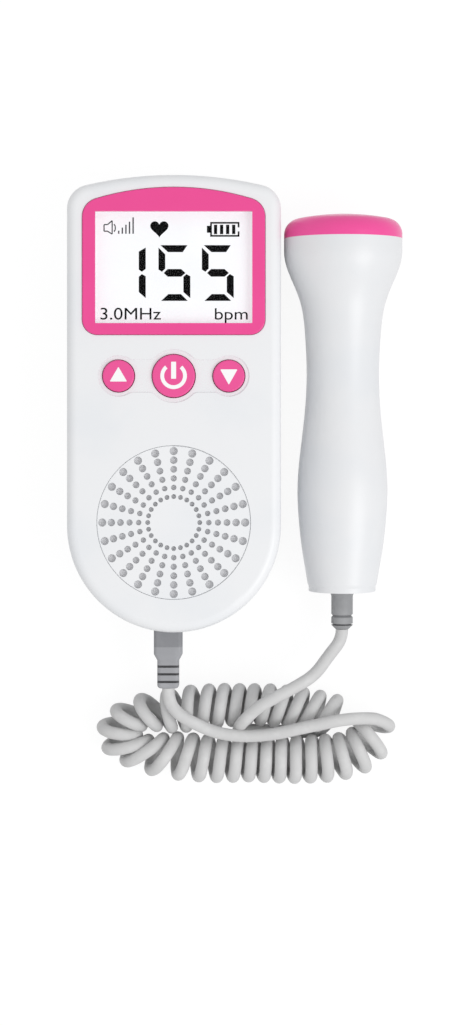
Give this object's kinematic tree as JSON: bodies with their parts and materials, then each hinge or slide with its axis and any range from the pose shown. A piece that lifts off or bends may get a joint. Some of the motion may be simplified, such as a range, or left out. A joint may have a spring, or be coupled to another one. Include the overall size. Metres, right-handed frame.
{
  "type": "fetal doppler monitor",
  "caption": "Pocket fetal doppler: round-ended unit with screen, keys and speaker grille, and a torpedo-shaped probe on a curly lead.",
  "frame": {"origin": "centre of the unit's flat back, on the table", "axes": "+Z out of the screen, +Y towards the screen end, +X towards the probe"},
  "size_m": [0.0979, 0.1798, 0.0351],
  "materials": {
    "shell_white": "smooth white moulded plastic",
    "pink_plastic": "satin pink plastic",
    "grille_white": "fine matt white plastic",
    "window": "clear polished window",
    "lcd_white": "white display",
    "frame_grey": "moulded grey plastic",
    "board_green": "solder-masked board",
    "chip_black": "moulded package",
    "silicone": "translucent silicone",
    "foam_black": "foam",
    "steel": "plated steel",
    "cone_black": "pressed cone",
    "cell_sleeve": "printed sleeve on steel",
    "nickel": "nickel-plated spring steel",
    "socket_black": "moulded black plastic",
    "plug_dark": "dark grey moulded plastic",
    "boot_grey": "soft grey moulding",
    "crystal": "ceramic",
    "backing": "filled epoxy backing",
    "lead_grey": "smooth grey lead sheath",
    "cloth_grey": "fine woven acoustic cloth"
  },
  "bodies": {
    "root": {"backlight": "lcd_white", "battery_cells": "cell_sleeve", "battery_contacts": "nickel", "board_chips": "chip_black", "board_screws": "steel", "cable_clamp": "frame_grey", "cable_plug": "plug_dark", "crystal_backing": "backing", "crystal_discs": "crystal", "curly_cord": "lead_grey", "dome_down": "silicone", "dome_power": "silicone", "dome_up": "silicone", "earphone_jack": "socket_black", "front_cover": "shell_white", "grille_cloth": "cloth_grey", "grille_insert": "grille_white", "housing_screws": "steel", "lcd_frame": "frame_grey", "lcd_panel": "lcd_white", "lead_probe": "lead_grey", "lead_unit": "lead_grey", "main_board": "board_green", "plug_boot": "boot_grey", "probe_board": "board_green", "probe_boot": "boot_grey", "probe_shell_lower": "shell_white", "probe_shell_upper": "shell_white", "probe_socket": "socket_black", "rear_cover": "shell_white", "screen_bezel": "pink_plastic", "speaker_basket": "steel", "speaker_cone": "cone_black", "speaker_gasket": "foam_black", "speaker_magnet": "steel", "transducer_cap": "pink_plastic", "window_lens": "window"},
    "button_up": {"key_up": "pink_plastic"},
    "button_power": {"key_power": "pink_plastic"},
    "button_down": {"key_down": "pink_plastic"},
    "battery_door": {"battery_cover": "shell_white"}
  },
  "joints": [
    {"name": "press_up", "type": "slide", "parent": "root", "child": "button_up", "axis": [0, 0, -1], "range_m": [0, 0.0008], "stiffness_N_per_m": 600, "deforming": ["dome_up"]},
    {"name": "press_power", "type": "slide", "parent": "root", "child": "button_power", "axis": [0, 0, -1], "range_m": [0, 0.0008], "stiffness_N_per_m": 600, "deforming": ["dome_power"]},
    {"name": "press_down", "type": "slide", "parent": "root", "child": "button_down", "axis": [0, 0, -1], "range_m": [0, 0.0008], "stiffness_N_per_m": 600, "deforming": ["dome_down"]},
    {"name": "battery_cover_slide", "type": "slide", "parent": "root", "child": "battery_door", "axis": [0, -1, 0], "range_m": [0, 0.008]}
  ]
}
